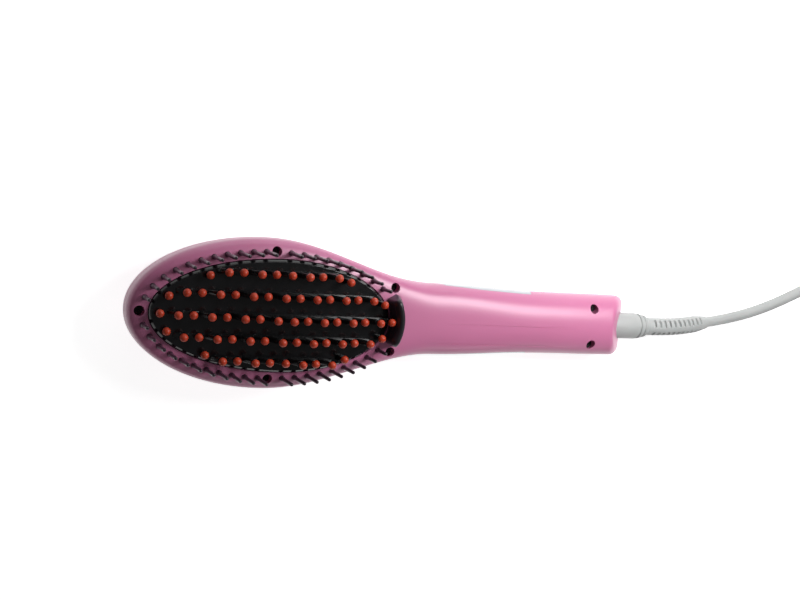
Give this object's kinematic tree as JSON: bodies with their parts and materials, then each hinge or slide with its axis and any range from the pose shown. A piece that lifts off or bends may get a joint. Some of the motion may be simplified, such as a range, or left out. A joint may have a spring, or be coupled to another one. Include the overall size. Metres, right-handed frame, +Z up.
{
  "type": "heated hair straightener brush",
  "caption": "Handheld heated brush with an oval plate of ball-tipped pins in a bristle ring, a keypad on the handle's back and a swivelling mains lead.",
  "frame": {"origin": "on the surface that the brush lies on, under the middle of the brush without its lead", "axes": "+X from the head's tip along the handle towards the lead, +Z up, the way the bristles point, +Y across the brush"},
  "size_m": [0.628, 0.105, 0.0487],
  "materials": {
    "pink_shell": "satin moulded ABS",
    "bristle_nylon": "black nylon with a faint purple sheen",
    "black_plate": "glossy black ceramic coating",
    "orange_tips": "heat-proof orange-red resin",
    "black_guard": "fine satin black",
    "black_screws": "black oxide",
    "silver_panel": "silver paint on plastic",
    "dark_lens": "smoked clear plastic",
    "silver_keys": "silver paint on plastic",
    "black_plastic": "moulded",
    "circuit_board": "green solder mask",
    "white_silicone": "silicone rubber",
    "bare_aluminium": "extruded",
    "amber_film": "insulating film",
    "spring_steel": "sprung strip",
    "steel_screws": "zinc plated",
    "mica_sheet": "mica sheet",
    "white_plastic": "moulded",
    "contact_brass": "turned and stamped",
    "brown_insulation": "wire insulation",
    "lead_pvc": "pale grey PVC",
    "tie_strap": "hook and loop strap",
    "plug_nickel": "nickel plated"
  },
  "bodies": {
    "housing": {"front_housing": "pink_shell", "back_housing": "pink_shell", "bristle_strips": "bristle_nylon", "cooling_bristles": "bristle_nylon", "heating_plate": "black_plate", "plate_fins": "black_plate", "brush_pins": "black_plate", "pin_tips": "orange_tips", "hand_guard": "black_guard", "head_screws": "black_screws", "handle_screws": "black_screws", "control_panel": "silver_panel", "display_lens": "dark_lens", "switch_bodies": "black_plastic", "display_board": "circuit_board", "lcd_module": "dark_lens", "plate_gasket": "white_silicone", "ptc_heater": "bare_aluminium", "heater_insulation": "amber_film", "heater_clamp": "spring_steel", "clamp_screws": "steel_screws", "thermistor": "amber_film", "thermal_fuse": "bare_aluminium", "heat_shield": "mica_sheet", "heater_leads": "white_silicone", "main_board": "circuit_board", "power_capacitor": "amber_film", "triac": "black_plastic", "driver_chip": "black_plastic", "line_fuse": "white_plastic", "buzzer": "black_plastic", "board_screws": "steel_screws", "display_ribbon": "white_plastic", "swivel_seat": "white_plastic", "contact_holder": "black_plastic", "contact_springs": "contact_brass", "supply_leads": "brown_insulation"},
    "power_key": {"power_button": "silver_keys", "power_plunger": "black_plastic"},
    "plus_key": {"plus_button": "silver_keys", "plus_plunger": "black_plastic"},
    "minus_key": {"minus_button": "silver_keys", "minus_plunger": "black_plastic"},
    "swivel_lead": {"swivel_spool": "white_plastic", "slip_rings": "contact_brass", "strain_relief": "lead_pvc", "cord_run": "lead_pvc", "cord_coil": "lead_pvc", "cord_tail": "lead_pvc", "coil_tie": "tie_strap", "plug_body": "lead_pvc", "plug_pins": "plug_nickel"}
  },
  "joints": [
    {"name": "power_press", "type": "slide", "parent": "housing", "child": "power_key", "axis": [0, 0, 1], "range_m": [0, 0.0005], "stiffness_N_per_m": 600},
    {"name": "plus_press", "type": "slide", "parent": "housing", "child": "plus_key", "axis": [0, 0, 1], "range_m": [0, 0.0005], "stiffness_N_per_m": 600},
    {"name": "minus_press", "type": "slide", "parent": "housing", "child": "minus_key", "axis": [0, 0, 1], "range_m": [0, 0.0005], "stiffness_N_per_m": 600},
    {"name": "lead_swivel", "type": "hinge", "parent": "housing", "child": "swivel_lead", "pos_m": [0.1375, 0, 0.016], "axis": [1, 0, 0], "continuous": true}
  ]
}
